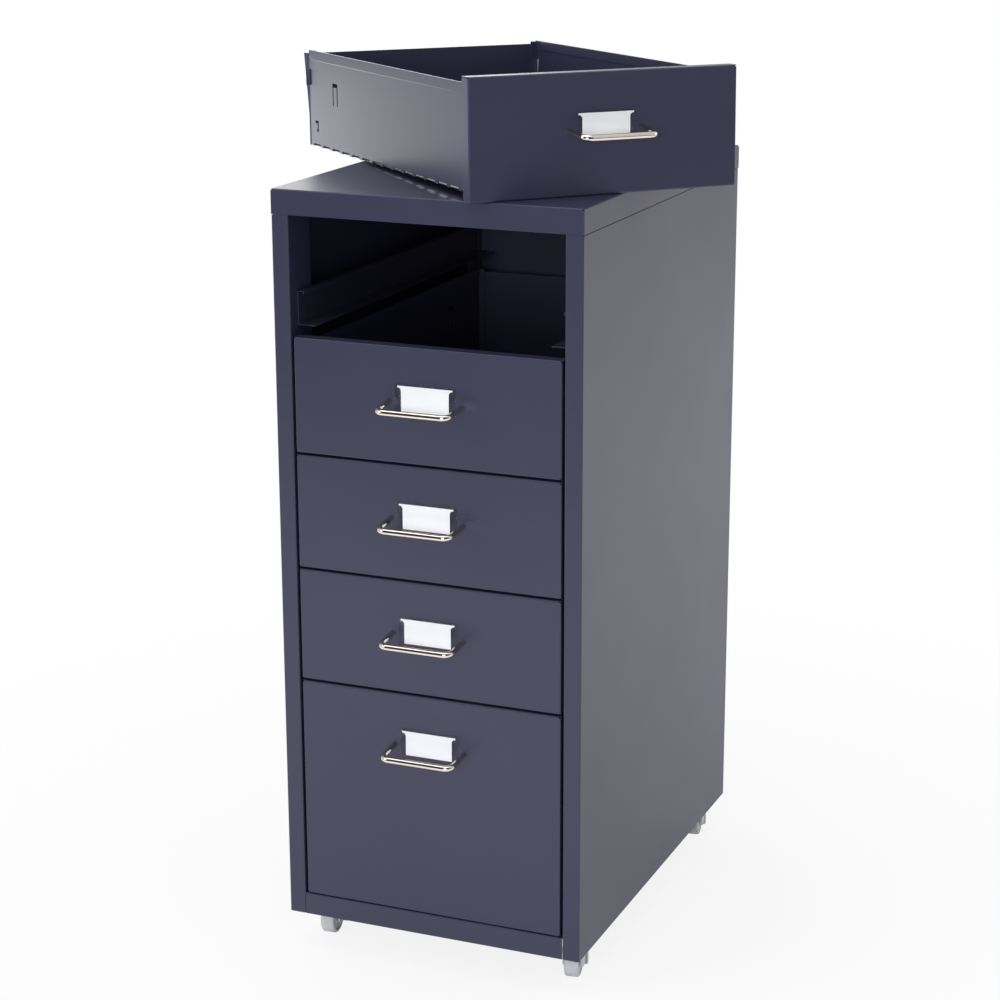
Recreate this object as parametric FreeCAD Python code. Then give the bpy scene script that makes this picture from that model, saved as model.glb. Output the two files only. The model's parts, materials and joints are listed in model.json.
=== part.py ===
import FreeCAD, Part

import math
import os

from FreeCAD import Placement, Rotation, Vector

# A narrow drawer unit of folded sheet steel on four castors, in millimetres.
# The origin is on the floor under the middle of the cabinet, with x to the right
# seen from the front, y to the rear and z up.

# Cabinet as a whole
cabinet_width = 280.0
cabinet_depth = 410.0
body_height = 657.0
ground_clearance = 33.0

# Sheet steel, the outer radius of its folds, the clearance between nested sheets, how far
# a cut runs past a surface, and how near two places count as one
sheet = 0.8
bend = 1.4
nesting_gap = 0.1
overrun = 1.0
same_place = 0.01

# Top cap
cap_skirt = 21.5
cap_return = 9.0
skirt_seam = 0.6

# Side panels, each folded into a front and a rear column
flange_width = 15.7
front_column_depth = 39.0
rear_column_depth = 28.0
column_foot_gap = 2.0

# Base pan and back panel
base_height = 20.0
back_return = 10.0

# Drawer fronts
slot_count = 6
front_gap = 2.1
front_side_gap = 2.3
front_return = 12.5
front_bottom_return = 10.0

# Drawer shells
shell_lip_gap = 1.3
shell_depth = 385.0
floor_rise = 6.5
wall_drop = 6.1
rear_wall_drop = 3.0
hem_depth = 8.5
front_flange_width = 14.0
floor_flange_height = 10.0
rear_flange_width = 7.0
ear_reach = 5.2
ear_foot_reach = 1.0
ear_foot_height = 36.0

# Slots that weaken the folding lines of a shell
fold_slot_length = 18.0
fold_slot_bridge = 7.0
fold_slot_width = 1.8
fold_slot_rise = 2.4
corner_slot_height = 14.0
corner_slot_below_top = 17.7
corner_slot_length = 6.0
corner_slot_reach = 2.4
corner_tab_height = 10.5
corner_tab_slit = 4.0
corner_tab_reach = 5.5

# Lanced tongue and hook in each side wall of a shell
tongue_width = 12.5
tongue_height = 20.0
tongue_slit = 2.0
tongue_mouth = 3.5
tongue_from_rear = 62.0
tongue_foot = 42.0
hook_width = 8.0
hook_height = 10.0
hook_slit = 2.4
hook_from_rear = 14.0
hook_foot = 14.0

# Runner channels, hung with two hooks in the columns
runner_height = 29.7
runner_floor_width = 17.0
runner_lip_width = 6.0
runner_lip_drop = 3.0
runner_front_gap = 1.0
runner_rear_gap = 14.0
running_gap = 0.2
hanger_length = 8.0
hanger_drop = 3.0
hanger_slot_gap = 0.2
hanger_from_end = 10.0

# Wire handles, each bend mitred in a few steps
wire_radius = 2.6
handle_spread = 66.0
handle_reach = 29.0
handle_drop = 47.0
handle_bend = 7.0
handle_bend_steps = 2

# Clear label holders and their cards
holder_width = 55.5
holder_height = 26.5
holder_thickness = 2.4
holder_drop = 31.5
pocket_gap = 0.6
pocket_foot = 3.0
card_width = 43.6
card_height = 22.0
card_thickness = 0.3
card_ear = 3.4
card_ear_height = 1.5
card_fillet = 2.2
card_clearance = 0.3

# Castors
wheel_radius = 15.0
wheel_width = 13.0
tread_chamfer = 1.5
axle_radius = 2.0
axle_clearance = 0.1
trail = 12.0
cheek_thickness = 2.2
wheel_side_gap = 0.5
wheel_tread_gap = 0.7
hood_top_gap = 0.5
hood_rear = 10.0
hood_rear_wall = 5.5
hood_front = 12.0
hood_floor_gap = 3.0
hood_shoulder = 22.0
hood_round = 7.0
cheek_boss_radius = 5.5
stem_radius = 4.0
stem_clearance = 0.1
stem_foot_depth = 2.5
plate_width = 26.0
plate_thickness = 1.5
castor_inset = 21.5
castor_front_setback = 50.0
castor_rear_setback = 24.0
castor_turns = {"front_left": 6.0, "front_right": 10.0, "rear_left": 14.0, "rear_right": 10.0}

# Place of the drawer that lies on the cap, turned and leaning on its rear edge
lifted_x = 130.2
lifted_setback = 75.6
lifted_yaw = 46.9
rest_gap = 0.1

# Places and sizes that follow from those above
front_y = -cabinet_depth / 2
panel_foot = ground_clearance
cap_top = ground_clearance + body_height
skirt_foot = cap_top - cap_skirt
seam_foot = skirt_foot - skirt_seam
base_top = panel_foot + base_height
slot_pitch = (skirt_foot - base_top) / slot_count
panel_x = cabinet_width / 2
nested_x = panel_x - sheet - nesting_gap
panel_rear_y = front_y + cabinet_depth - sheet - nesting_gap
panel_top = cap_top - sheet - nesting_gap
column_x = panel_x - flange_width
front_width = 2 * (column_x - front_side_gap)
shell_x = column_x - runner_lip_width - shell_lip_gap
wheel_gap_width = wheel_width + 2 * wheel_side_gap
hood_width = wheel_gap_width + 2 * cheek_thickness
hood_top = panel_foot - hood_top_gap


def face_of(corners):
    """Flat face in x and y, from corners (x, y) or rounded corners (x, y, radius)."""
    spots = [Vector(corner[0], corner[1], 0) for corner in corners]
    radii = [corner[2] if len(corner) > 2 else 0 for corner in corners]
    edges = []
    stretches = []
    for i, here in enumerate(spots):
        back = (spots[i - 1] - here).normalize()
        ahead = (spots[(i + 1) % len(spots)] - here).normalize()
        half = back.getAngle(ahead) / 2
        reach = radii[i] / math.tan(half)
        start = here + back * reach
        end = here + ahead * reach
        if radii[i] > 0:
            inward = (back + ahead).normalize()
            middle = here + inward * (radii[i] / math.sin(half) - radii[i])
            edges.append(Part.Arc(start, middle, end).toShape())
        stretches.append((start, end))
    for i, (_, end) in enumerate(stretches):
        start = stretches[(i + 1) % len(stretches)][0]
        if (start - end).Length > same_place:
            edges.append(Part.LineSegment(end, start).toShape())
    return Part.Face(Part.Wire(Part.sortEdges(edges)[0]))


def prism(corners, plane, low, high):
    """Solid with the outline of the corners in plane xy, xz or yz, from low to high across it."""
    face = face_of(corners)
    solid = face.extrude(Vector(0, 0, high - low))
    if plane == "xz":
        solid.rotate(Vector(), Vector(1, 0, 0), 90)
        solid.translate(Vector(0, high, 0))
    elif plane == "yz":
        solid.rotate(Vector(), Vector(1, 1, 1), 120)
        solid.translate(Vector(low, 0, 0))
    else:
        solid.translate(Vector(0, 0, low))
    return solid


def folded(path, side, radius):
    """Corners of a sheet folded along a path of its outer face, with its metal on one side.

    The side is 1 for metal on the left of the path and -1 for metal on its right. A fold has
    the radius on its outer face and is sharp on its inner one.
    """
    spots = [Vector(x, y, 0) for x, y in path]
    outer = []
    inner = []
    for i, here in enumerate(spots):
        first = spots[max(i, 1)] - spots[max(i, 1) - 1]
        second = spots[min(i + 1, len(spots) - 1)] - spots[min(i, len(spots) - 2)]
        normals = [Vector(-run.y, run.x, 0).normalize() * side for run in (first, second)]
        mitre = normals[0] + normals[1]
        offset = mitre * (2 * sheet / mitre.Length ** 2)
        is_end = i in (0, len(spots) - 1)
        outer.append((here.x, here.y, 0 if is_end else radius))
        inner.append((here.x + offset.x, here.y + offset.y))
    return outer + inner[::-1]


def block(x, y, z):
    """Box between the two values given for each axis."""
    low = Vector(min(x), min(y), min(z))
    return Part.makeBox(max(x) - low.x, max(y) - low.y, max(z) - low.z, low)


def rod(radius, start, end):
    """Round rod between two points."""
    axis = Vector(*end) - Vector(*start)
    return Part.makeCylinder(radius, axis.Length, Vector(*start), axis)


def mirrored(shape):
    """The same shape on the other side of the middle plane."""
    return shape.mirror(Vector(), Vector(1, 0, 0))


def tray(width, length, skirt):
    """Folded tray, centred in x and y, with its plate at z 0 and its skirt standing up.

    The folds stop short of the plate's corners, and the skirts at both ends run on to the sides.
    """
    half_width = width / 2
    half_length = length / 2
    across = [(-half_width, skirt), (-half_width, 0), (half_width, 0), (half_width, skirt)]
    along = [(-half_length, skirt), (-half_length, 0), (half_length, 0), (half_length, skirt)]
    shape = prism(folded(across, 1, bend), "xz", bend - half_length, half_length - bend)
    shape = shape.fuse(prism(folded(along, 1, bend), "yz", bend - half_width, half_width - bend))
    for side in (-1, 1):
        for end in (-1, 1):
            shape = shape.fuse(block((side * half_width, side * (half_width - bend)),
                                     (end * half_length, end * (half_length - sheet)), (bend, skirt)))
    return shape.removeSplitter()


def build_top_cap():
    """Tray turned upside down, with a return behind its front skirt."""
    cap = tray(cabinet_width, cabinet_depth, cap_skirt)
    cap.rotate(Vector(), Vector(1, 0, 0), 180)
    cap.translate(Vector(0, 0, cap_top))
    reach = column_x - nesting_gap
    lip = block((-reach, reach), (front_y, front_y + cap_return), (skirt_foot, skirt_foot + sheet))
    return cap.fuse(lip).removeSplitter()


def runner_slots():
    """Level at which each drawer's slot starts, from the top of the cabinet down."""
    return [base_top + slot_pitch * slots_below for slots_below in (5, 4, 3, 2, 0)]


def hanger_places():
    """Distances from the front at which the runners hang in the columns."""
    front = front_y + front_column_depth - hanger_from_end - hanger_length
    rear = panel_rear_y - rear_column_depth + nesting_gap
    return front, rear


def runner_foot(level):
    """Underside of the runners of the drawer whose slot starts at this level."""
    return level + front_gap / 2 + floor_rise - running_gap - sheet


def panel_wall(wall_x, low, high):
    """Stretch of the left side panel, from low to high, with its outer wall this far out."""
    path = [
        (-column_x, front_y + front_column_depth),
        (-column_x, front_y),
        (-wall_x, front_y),
        (-wall_x, panel_rear_y),
        (-column_x, panel_rear_y),
        (-column_x, panel_rear_y - rear_column_depth),
    ]
    return prism(folded(path, -1, bend), "xy", low, high)


def build_side_panel():
    """Left side panel: outer wall, front and rear flanges and the returns of both columns.

    Under the cap the wall steps inward by one sheet, so that the skirt lies flush with it.
    """
    step_foot = seam_foot - 2 * sheet
    step = block((sheet / 2 - panel_x, sheet / 2 - nested_x),
                 (front_y + sheet, panel_rear_y - sheet), (step_foot, seam_foot))
    panel = panel_wall(panel_x, panel_foot, seam_foot)
    panel = panel.fuse(panel_wall(nested_x, step_foot, panel_top)).fuse(step)
    inner_wall = sheet - panel_x
    pan_room = block((inner_wall, 0), (front_y + sheet, panel_rear_y - sheet),
                     (0, base_top + column_foot_gap))
    cap_room = block((-panel_x - overrun, 0), (front_y - overrun, front_y + sheet + nesting_gap),
                     (skirt_foot - nesting_gap, cap_top))
    panel = panel.cut(pan_room).cut(cap_room)
    for level in runner_slots():
        middle = runner_foot(level) + runner_height / 2
        for start in hanger_places():
            hole = block((-column_x - sheet - overrun, overrun - column_x),
                         (start - hanger_slot_gap, start + hanger_length + hanger_slot_gap),
                         (middle - hanger_drop, middle + sheet + hanger_slot_gap))
            panel = panel.cut(hole)
    return panel.removeSplitter()


def build_base_pan():
    """Pan whose front skirt is the rail under the lowest drawer, between the front flanges."""
    length = panel_rear_y - front_y
    pan_x = panel_x - sheet - nesting_gap
    pan = tray(2 * pan_x, length, base_height)
    pan.rotate(Vector(), Vector(1, 0, 0), 180)
    pan.translate(Vector(0, front_y + length / 2, base_top))
    rail_x = column_x - nesting_gap
    for side in (-1, 1):
        for edge_y, inward in ((front_y, 1), (panel_rear_y, -1)):
            corner = block((side * rail_x, side * (pan_x + overrun)),
                           (edge_y - inward * overrun, edge_y + inward * (sheet + nesting_gap)),
                           (panel_foot - overrun, base_top + overrun))
            pan = pan.cut(corner)
    return pan


def build_back_panel():
    """Tray with its plate flush with the rear flanges, between the rear columns."""
    foot = base_top + nesting_gap
    height = panel_top - foot
    panel = tray(2 * (column_x - nesting_gap), height, back_return)
    panel.rotate(Vector(), Vector(1, 0, 0), 90)
    panel.translate(Vector(0, panel_rear_y, foot + height / 2))
    return panel


def build_runner(level):
    """Left runner channel with its two hangers, for the slot that starts at this level."""
    foot = runner_foot(level)
    top = foot + runner_height
    path = [
        (runner_lip_width - column_x, top - runner_lip_drop),
        (runner_lip_width - column_x, top),
        (-column_x, top),
        (-column_x, foot),
        (runner_floor_width - column_x, foot),
    ]
    start = front_y + front_return + runner_front_gap
    end = front_y + cabinet_depth - runner_rear_gap
    runner = prism(folded(path, 1, 0), "xz", start, end)
    middle = foot + runner_height / 2
    hook_x = -column_x - sheet - nesting_gap
    for hanger_y in hanger_places():
        tab = block((hook_x - sheet, sheet - column_x), (hanger_y, hanger_y + hanger_length),
                    (middle, middle + sheet))
        hook = block((hook_x - sheet, hook_x), (hanger_y, hanger_y + hanger_length),
                     (middle - hanger_drop, middle + sheet))
        runner = runner.fuse(tab).fuse(hook)
    return runner.removeSplitter()


def stem_places():
    """Where the four castor stems stand, seen from above."""
    x = cabinet_width / 2 - castor_inset
    front = front_y + castor_front_setback
    rear = front_y + cabinet_depth - castor_rear_setback
    return {"front_left": (-x, front), "front_right": (x, front),
            "rear_left": (-x, rear), "rear_right": (x, rear)}


def build_stem(x, y):
    """Castor stem on the square plate that is welded under the base pan."""
    plate_top = base_top - sheet
    plate_foot = plate_top - plate_thickness
    half = plate_width / 2
    plate = block((x - half, x + half), (y - half, y + half), (plate_foot, plate_top))
    pin = rod(stem_radius, (x, y, hood_top - stem_foot_depth), (x, y, plate_foot))
    return plate.fuse(pin).removeSplitter()


def castor_placement(name):
    """Turn and place of a castor that is modelled with its stem at x 0 and y 0."""
    x, y = stem_places()[name]
    return Placement(Vector(x, y, 0), Rotation(Vector(0, 0, 1), castor_turns[name]))


def build_hood():
    """Hood with two cheeks that carry the axle, a rear wall and a bore for the stem."""
    strap_front = -trail - cheek_boss_radius
    strap_rear = -trail + cheek_boss_radius
    strap_foot = wheel_radius - cheek_boss_radius
    wall_front = hood_rear - hood_rear_wall
    outline = [
        (strap_front, strap_foot, cheek_boss_radius),
        (strap_rear, strap_foot, cheek_boss_radius),
        (strap_rear, hood_shoulder),
        (wall_front, hood_shoulder),
        (wall_front, hood_floor_gap),
        (hood_rear, hood_floor_gap),
        (hood_rear, hood_top, hood_round),
        (-trail - hood_front, hood_top, hood_round),
        (strap_front, hood_shoulder),
    ]
    hood = prism(outline, "yz", -hood_width / 2, hood_width / 2)
    hollow = rod(wheel_radius + wheel_tread_gap, (-wheel_gap_width / 2, -trail, wheel_radius),
                 (wheel_gap_width / 2, -trail, wheel_radius))
    bore = rod(stem_radius + stem_clearance, (0, 0, hood_top - stem_foot_depth - stem_clearance),
               (0, 0, hood_top + overrun))
    return hood.cut(hollow).cut(bore)


def build_wheel():
    """Wheel with a chamfered tread and a bore for its axle."""
    half = wheel_width / 2
    bore = axle_radius + axle_clearance
    outline = [
        (-half, bore),
        (half, bore),
        (half, wheel_radius - tread_chamfer),
        (half - tread_chamfer, wheel_radius),
        (tread_chamfer - half, wheel_radius),
        (-half, wheel_radius - tread_chamfer),
    ]
    wheel = face_of(outline).revolve(Vector(), Vector(1, 0, 0), 360)
    wheel.translate(Vector(0, -trail, wheel_radius))
    return wheel


def build_axle():
    """Steel pin between the cheeks of a hood."""
    return rod(axle_radius, (-wheel_gap_width / 2, -trail, wheel_radius),
               (wheel_gap_width / 2, -trail, wheel_radius))


def build_front(height):
    """Front panel of a drawer: a tray on edge, with a lower return along its foot."""
    front = tray(front_width, height, front_return)
    front.rotate(Vector(), Vector(1, 0, 0), -90)
    front.translate(Vector(0, 0, height / 2))
    trim = block((-front_width, front_width), (front_bottom_return, front_return + overrun),
                 (-overrun, bend))
    return front.cut(trim)


def build_shell(height):
    """Shell of a drawer behind a front of this height, folded up from one sheet."""
    wall_top = height - wall_drop
    rear_top = wall_top - rear_wall_drop
    rear_face = shell_depth - sheet
    inner_floor = floor_rise + sheet
    hem_x = shell_x - 2 * sheet
    right = [
        (shell_x, floor_rise),
        (shell_x, wall_top),
        (hem_x, wall_top),
        (hem_x, wall_top - hem_depth),
        (shell_x - sheet, wall_top - hem_depth),
        (shell_x - sheet, inner_floor),
    ]
    left = [(-x, z) for x, z in right[::-1]]
    shell = prism(right + left, "xz", sheet, rear_face)

    ear_x = shell_x + ear_reach
    ear_foot_x = shell_x + ear_foot_reach
    rear_right = [
        (ear_foot_x, floor_rise),
        (ear_foot_x, ear_foot_height),
        (ear_x, rear_top),
    ]
    rear_left = [(-x, z) for x, z in rear_right[::-1]]
    shell = shell.fuse(prism(rear_right + rear_left, "xz", rear_face, shell_depth))
    floor_flange = block((-shell_x + front_flange_width, shell_x - front_flange_width),
                         (sheet, 2 * sheet), (floor_rise, floor_rise + floor_flange_height))
    shell = shell.fuse(floor_flange)
    for side in (-1, 1):
        outer = side * (shell_x - sheet / 2)
        front_flange = block((outer, side * (shell_x - front_flange_width)),
                             (sheet, 2 * sheet), (inner_floor, wall_top - sheet))
        rear_flange = block((outer, side * (shell_x - rear_flange_width)),
                            (rear_face - sheet, rear_face), (inner_floor, wall_top - sheet))
        shell = shell.fuse(front_flange).fuse(rear_flange)
    shell = shell.removeSplitter()
    return cut_shell(shell, wall_top)


def cut_shell(shell, wall_top):
    """Shell with the slots of its folding lines and the lanced tongues of its side walls."""
    pitch = fold_slot_length + fold_slot_bridge
    count = int((shell_depth - fold_slot_bridge) / pitch)
    first = (shell_depth - count * pitch + fold_slot_bridge) / 2
    cuts = []
    tabs = []
    slot_z = (floor_rise - overrun, floor_rise + fold_slot_rise)
    tongue_y = shell_depth - tongue_from_rear - tongue_width
    tongue_z = floor_rise + tongue_foot
    hook_y = shell_depth - hook_from_rear - hook_width
    hook_z = floor_rise + hook_foot
    corner_top = wall_top - corner_slot_below_top
    corner_foot = corner_top - corner_slot_height
    corner_y = shell_depth - corner_slot_length
    for side in (-1, 1):
        outer = side * (shell_x + overrun)
        inner = side * (shell_x - sheet - overrun)
        through = (outer, inner)
        bend_line = (outer, side * (shell_x - fold_slot_width))
        for i in range(count):
            start = first + i * pitch
            cuts.append(block(bend_line, (start, start + fold_slot_length), slot_z))
        cuts.append(block((side * (shell_x + corner_slot_reach), side * (shell_x - sheet)),
                          (corner_y, shell_depth + overrun), (corner_foot, corner_top)))
        tabs.append(block((side * shell_x, side * (shell_x - sheet)),
                          (corner_y + corner_tab_slit, shell_depth + corner_tab_reach),
                          (corner_foot - sheet, corner_foot + corner_tab_height)))
        cuts.append(block(through, (tongue_y, tongue_y + tongue_width),
                          (tongue_z + tongue_height - tongue_mouth, tongue_z + tongue_height)))
        for start in (tongue_y, tongue_y + tongue_width - tongue_slit):
            cuts.append(block(through, (start, start + tongue_slit),
                              (tongue_z, tongue_z + tongue_height)))
        cuts.append(block(through, (hook_y, hook_y + hook_slit), (hook_z, hook_z + hook_height)))
        cuts.append(block(through, (hook_y, hook_y + hook_width),
                          (hook_z + hook_height - hook_slit, hook_z + hook_height)))
        cuts.append(block(through, (hook_y, hook_y + hook_width / 2),
                          (hook_z, hook_z + hook_slit)))
    return shell.cut(Part.makeCompound(cuts)).fuse(tabs).removeSplitter()


def mitred_rod(spots):
    """Round wire along a path of points, mitred where it turns."""
    solid = None
    for i in range(len(spots) - 1):
        start, end = spots[i], spots[i + 1]
        run = (end - start).normalize()
        before = run if i == 0 else (start - spots[i - 1]).normalize()
        after = run if i + 2 == len(spots) else (spots[i + 2] - end).normalize()
        reach = run * (2 * wire_radius)
        piece = rod(wire_radius, start if i == 0 else start - reach,
                    end if i + 2 == len(spots) else end + reach)
        for spot, normal in ((start, -(run + before)), (end, run + after)):
            beyond = Part.makeCylinder(4 * wire_radius, 4 * wire_radius, spot, normal)
            piece = piece.cut(beyond)
        solid = piece if solid is None else solid.fuse(piece)
    return solid.removeSplitter()


def build_handle(height):
    """Wire handle bent to a U, with its two ends against the front panel."""
    level = height - handle_drop
    half = handle_spread / 2
    inset = half - handle_bend
    depth = handle_bend - handle_reach
    step = math.pi / 2 / handle_bend_steps
    reach = handle_bend / math.cos(step / 2)
    corner = []
    for i in range(handle_bend_steps):
        angle = step * (i + 0.5)
        corner.append((inset + reach * math.cos(angle), depth - reach * math.sin(angle)))
    right = [(half, 0)] + corner
    left = [(-x, y) for x, y in right]
    return mitred_rod([Vector(x, y, level) for x, y in left + right[::-1]])


def build_label_holder(height):
    """Clear pocket on the front panel, open at its top."""
    top = height - holder_drop
    foot = top - holder_height
    half = holder_width / 2
    holder = block((-half, half), (-holder_thickness, 0), (foot, top))
    pocket_y = ((pocket_gap - holder_thickness) / 2, -(pocket_gap + holder_thickness) / 2)
    pocket_half = card_width / 2 + card_clearance
    ear_half = pocket_half + card_ear
    ear_foot = foot + pocket_foot + card_height - card_ear_height - card_fillet - card_clearance
    pocket = block((-pocket_half, pocket_half), pocket_y, (foot + pocket_foot, top + overrun))
    ears = block((-ear_half, ear_half), pocket_y, (ear_foot, top + overrun))
    return holder.cut(pocket).cut(ears)


def build_label_card(height):
    """Paper card that stands in the pocket and shows its two ears."""
    foot = height - holder_drop - holder_height + pocket_foot
    top = foot + card_height
    half = card_width / 2
    right = [
        (half, foot),
        (half, top - card_ear_height, card_fillet),
        (half + card_ear, top - card_ear_height),
        (half + card_ear, top),
    ]
    left = [(-corner[0],) + corner[1:] for corner in right[::-1]]
    middle = -holder_thickness / 2
    return prism(right + left, "xz", middle - card_thickness / 2, middle + card_thickness / 2)


def drawer_placement(number):
    """Place of a drawer that is modelled with the foot of its front face at the origin."""
    if number > 1:
        level = runner_slots()[number - 1] + front_gap / 2
        return Placement(Vector(0, front_y, level), Rotation())
    tilt = math.degrees(math.asin(floor_rise / shell_depth))
    lift = rest_gap + front_bottom_return * floor_rise / shell_depth
    turn = Rotation(Vector(0, 0, 1), lifted_yaw) * Rotation(Vector(1, 0, 0), -tilt)
    return Placement(Vector(lifted_x, front_y + lifted_setback, cap_top + lift), turn)


def drawer_height(number):
    """Height of a drawer's front: the lowest drawer takes two slots."""
    slots = 2 if number == 5 else 1
    return slots * slot_pitch - front_gap


def placed(shape, placement):
    """Copy of a shape moved by a placement."""
    copy = shape.copy()
    copy.Placement = placement * shape.Placement
    return copy


def save(name, shape):
    """Writes one sub-part, after a look at its solids."""
    if not shape.isValid() or not shape.Solids:
        raise ValueError(f"{name} is not a sound solid")
    shape.exportStep(f"parts/{name}.step")
    print(f"{name}: {len(shape.Solids)} solid, {shape.Volume:.0f} mm3")


os.makedirs("parts", exist_ok=True)

save("top_cap", build_top_cap())
side_panel = build_side_panel()
save("side_panel_left", side_panel)
save("side_panel_right", mirrored(side_panel))
save("base_pan", build_base_pan())
save("back_panel", build_back_panel())
for number, level in enumerate(runner_slots(), start=1):
    runner = build_runner(level)
    save(f"runner_{number}_left", runner)
    save(f"runner_{number}_right", mirrored(runner))

places = stem_places()
save("castor_stems", Part.makeCompound([build_stem(x, y) for x, y in places.values()]))
for name in places:
    placement = castor_placement(name)
    save(f"castor_{name}_hood", placed(build_hood(), placement))
    save(f"castor_{name}_wheel", placed(build_wheel(), placement))
    save(f"castor_{name}_axle", placed(build_axle(), placement))

for number in range(1, 6):
    height = drawer_height(number)
    placement = drawer_placement(number)
    save(f"drawer_{number}_shell", placed(build_shell(height), placement))
    save(f"drawer_{number}_front", placed(build_front(height), placement))
    save(f"drawer_{number}_handle", placed(build_handle(height), placement))
    save(f"drawer_{number}_label_holder", placed(build_label_holder(height), placement))
    save(f"drawer_{number}_label_card", placed(build_label_card(height), placement))
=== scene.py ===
import json
import math

import bmesh
import bpy
from mathutils import Euler, Matrix, Vector

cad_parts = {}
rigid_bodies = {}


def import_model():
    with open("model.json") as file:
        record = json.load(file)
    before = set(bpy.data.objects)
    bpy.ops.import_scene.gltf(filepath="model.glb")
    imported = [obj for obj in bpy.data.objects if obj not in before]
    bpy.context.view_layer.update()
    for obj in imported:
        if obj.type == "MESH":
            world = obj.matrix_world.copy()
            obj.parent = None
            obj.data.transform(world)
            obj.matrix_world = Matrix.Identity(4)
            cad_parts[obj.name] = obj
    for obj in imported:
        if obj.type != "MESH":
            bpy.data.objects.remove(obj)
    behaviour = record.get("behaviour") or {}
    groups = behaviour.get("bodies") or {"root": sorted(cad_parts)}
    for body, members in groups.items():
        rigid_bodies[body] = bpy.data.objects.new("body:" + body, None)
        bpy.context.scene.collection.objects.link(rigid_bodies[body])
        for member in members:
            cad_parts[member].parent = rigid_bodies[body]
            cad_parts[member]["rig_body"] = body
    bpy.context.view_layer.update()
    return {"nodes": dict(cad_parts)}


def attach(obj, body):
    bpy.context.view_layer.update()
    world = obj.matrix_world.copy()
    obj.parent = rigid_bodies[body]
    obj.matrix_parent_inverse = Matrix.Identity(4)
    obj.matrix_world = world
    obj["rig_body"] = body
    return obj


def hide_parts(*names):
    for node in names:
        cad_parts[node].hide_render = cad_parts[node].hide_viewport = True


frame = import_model()


# The cabinet's cap, side panels, floor pan and back are folded from thin sheet steel and spot
# welded where they overlap. A satin powder coat in dark slate blue covers them, rounds the cut
# edges and shows a fine orange peel.
coat_edge = 0.00022
rounding_steps = 2
coat_colour = (0.034, 0.0345, 0.076, 1)
coat_roughness = 0.34
coat_peel = 0.00002
dust_colour = (0.36, 0.35, 0.34, 1)
dust_on_steel = 0.08
merge_distance = 0.000005
flat_within = math.radians(0.5)
smooth_within = math.radians(50)


def open_alone(piece):
    """Opens the mesh of one piece for editing, with nothing else and none of it selected."""
    bpy.ops.object.select_all(action="DESELECT")
    piece.select_set(True)
    bpy.context.view_layer.objects.active = piece
    bpy.ops.object.mode_set(mode="EDIT")
    bpy.ops.mesh.select_mode(type="FACE")
    bpy.ops.mesh.select_all(action="DESELECT")


def close_mesh():
    """Ends the editing of the open piece."""
    bpy.ops.object.mode_set(mode="OBJECT")


def soften(piece, width, sharper_than=30):
    """Rounds the sharp edges of a piece and shades it smooth, with its flat faces kept flat."""
    bpy.ops.object.select_all(action="DESELECT")
    piece.select_set(True)
    bpy.context.view_layer.objects.active = piece
    rounding = piece.modifiers.new("rounding", "BEVEL")
    rounding.width = width
    rounding.segments = rounding_steps
    rounding.limit_method = "ANGLE"
    rounding.angle_limit = math.radians(sharper_than)
    rounding.use_clamp_overlap = False
    bpy.ops.object.modifier_apply(modifier="rounding")
    bpy.ops.object.shade_smooth_by_angle(angle=smooth_within)
    shading = piece.modifiers.new("shading", "WEIGHTED_NORMAL")
    shading.keep_sharp = True
    bpy.ops.object.modifier_apply(modifier="shading")


def node_copy(node, name, place=Matrix()):
    """Copy of a frame node's mesh, moved by a placement, with its flat faces made whole."""
    mesh = frame["nodes"][node].data.copy()
    mesh.transform(place)
    mesh.materials.clear()
    piece = bpy.data.objects.new(name, mesh)
    bpy.context.scene.collection.objects.link(piece)
    open_alone(piece)
    bpy.ops.mesh.customdata_custom_splitnormals_clear()
    bpy.ops.mesh.select_all(action="SELECT")
    bpy.ops.mesh.remove_doubles(threshold=merge_distance)
    bpy.ops.mesh.dissolve_limited(angle_limit=flat_within)
    close_mesh()
    return piece


def finish_as(piece, node, material):
    """Lets a piece stand for a frame node, on that node's body, in one material."""
    piece.data.materials.clear()
    piece.data.materials.append(material)
    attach(piece, frame["nodes"][node]["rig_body"])
    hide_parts(node)


def shader(tree, kind, sockets=None, **settings):
    """Adds a shader node, with settings by name and a value or a link for each input socket."""
    node = tree.nodes.new(kind)
    for key, value in settings.items():
        setattr(node, key, value)
    for key, value in (sockets or {}).items():
        if isinstance(value, bpy.types.NodeSocket):
            tree.links.new(value, node.inputs[key])
        else:
            node.inputs[key].default_value = value
    return node


def effect(name, inputs, outputs):
    """Starts a shader node group with named sockets, and returns it with its two end nodes."""
    tree = bpy.data.node_groups.new(name, "ShaderNodeTree")
    for label, value in inputs.items():
        kind = "NodeSocketFloat" if isinstance(value, float) else "NodeSocketColor"
        socket = tree.interface.new_socket(label, in_out="INPUT", socket_type=kind)
        socket.default_value = value
    for label, kind in outputs.items():
        tree.interface.new_socket(label, in_out="OUTPUT", socket_type=kind)
    return tree, tree.nodes.new("NodeGroupInput"), tree.nodes.new("NodeGroupOutput")


def noise(tree, vector, scale, detail=2.0):
    """Noise value over a vector."""
    sockets = {"Vector": vector, "Scale": scale, "Detail": detail}
    return shader(tree, "ShaderNodeTexNoise", sockets).outputs["Fac"]


def ranged(tree, value, span, to):
    """Value moved from one span to another and kept inside it."""
    sockets = {"Value": value, "From Min": span[0], "From Max": span[1],
               "To Min": to[0], "To Max": to[1]}
    return shader(tree, "ShaderNodeMapRange", sockets).outputs["Result"]


def maths(tree, operation, first, second):
    """Result of one operation on two values."""
    return shader(tree, "ShaderNodeMath", {0: first, 1: second}, operation=operation).outputs[0]


def tinted(tree, colour, amount):
    """Colour made lighter or darker by an amount around 1."""
    return shader(tree, "ShaderNodeMix", {0: 1.0, 6: colour, 7: amount},
                  data_type="RGBA", blend_type="MULTIPLY").outputs[2]


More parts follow.
